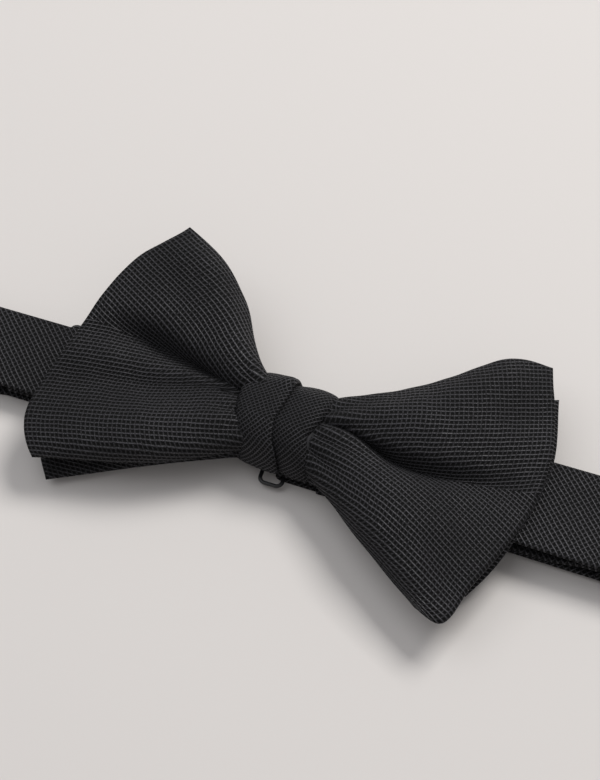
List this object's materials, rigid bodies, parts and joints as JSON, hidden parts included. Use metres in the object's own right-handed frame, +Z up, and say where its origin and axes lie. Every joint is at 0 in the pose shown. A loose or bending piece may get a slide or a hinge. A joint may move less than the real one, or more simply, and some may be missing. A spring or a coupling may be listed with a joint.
{
  "type": "bow tie",
  "caption": "Pre-tied dress bow tie: gathered double bow and wrapped knot on an adjustable neck band with hook, eye and slider, lying face up with the band folded under.",
  "frame": {"origin": "on the table, under the middle of the whole bow tie", "axes": "+X along the neck band to the side with the slider, +Z up from the table through the face of the knot, +Y across the band to the bow's upper edge"},
  "size_m": [0.2022, 0.0731, 0.0209],
  "materials": {
    "bow_cloth": "open square weave in black silk with a satin sheen",
    "band_cloth": "the same black cloth cut on the bias",
    "interlining": "matt felted interlining",
    "thread": "black polyester sewing thread",
    "hardware": "black coated steel, semi-gloss"
  },
  "bodies": {
    "tie": {"rear_bow_back": "bow_cloth", "rear_bow_interlining": "interlining", "rear_bow_face": "bow_cloth", "front_bow_back": "bow_cloth", "front_bow_interlining": "interlining", "front_bow_face": "bow_cloth", "gather_thread": "thread", "knot_interlining": "interlining", "knot_wrap": "bow_cloth", "knot_closing_stitch": "thread", "band_front_cloth": "band_cloth", "band_front_interlining": "interlining", "left_end_fold": "band_cloth", "right_end_fold": "band_cloth"},
    "left_return": {"left_return_cloth": "band_cloth", "left_return_interlining": "interlining", "left_end_loop": "band_cloth", "left_loop_bartack": "thread"},
    "eye": {"eye_ring": "hardware"},
    "right_return": {"right_outer_run_cloth": "band_cloth", "right_outer_run_interlining": "interlining"},
    "turned_strap": {"band_turn": "band_cloth"},
    "hook": {"hook": "hardware"},
    "slider": {"adjuster_slider": "hardware", "slider_end_loop": "band_cloth", "slider_bartack": "thread", "inner_run_cloth": "band_cloth", "inner_run_interlining": "interlining"}
  },
  "joints": [
    {"name": "left_band_unfold", "type": "hinge", "parent": "tie", "child": "left_return", "pos_m": [-0.098, -0.00076, 0.0031], "axis": [0, 1, 0], "range_deg": [0, 180], "deforming": ["left_end_fold"]},
    {"name": "eye_swing", "type": "hinge", "parent": "left_return", "child": "eye", "pos_m": [-0.0589, -0.00076, 0.00192], "axis": [0, 1, 0], "range_deg": [0, 85]},
    {"name": "right_band_unfold", "type": "hinge", "parent": "tie", "child": "right_return", "pos_m": [0.098, -0.00076, 0.00474], "axis": [0, -1, 0], "range_deg": [0, 180], "deforming": ["right_end_fold"]},
    {"name": "strap_feed", "type": "slide", "parent": "right_return", "child": "turned_strap", "axis": [-1, 0, 0], "range_m": [0, 0.03]},
    {"name": "adjuster_slide", "type": "slide", "parent": "turned_strap", "child": "slider", "axis": [-1, 0, 0], "range_m": [0, 0.03], "deforming": ["inner_run_cloth", "inner_run_interlining"]},
    {"name": "hook_swing", "type": "hinge", "parent": "turned_strap", "child": "hook", "pos_m": [0.0025, -0.00076, 0.00192], "axis": [0, -1, 0], "range_deg": [0, 85]}
  ],
  "couplings": [
    {"joint": "strap_feed", "follows": "adjuster_slide", "ratio": 1}
  ]
}
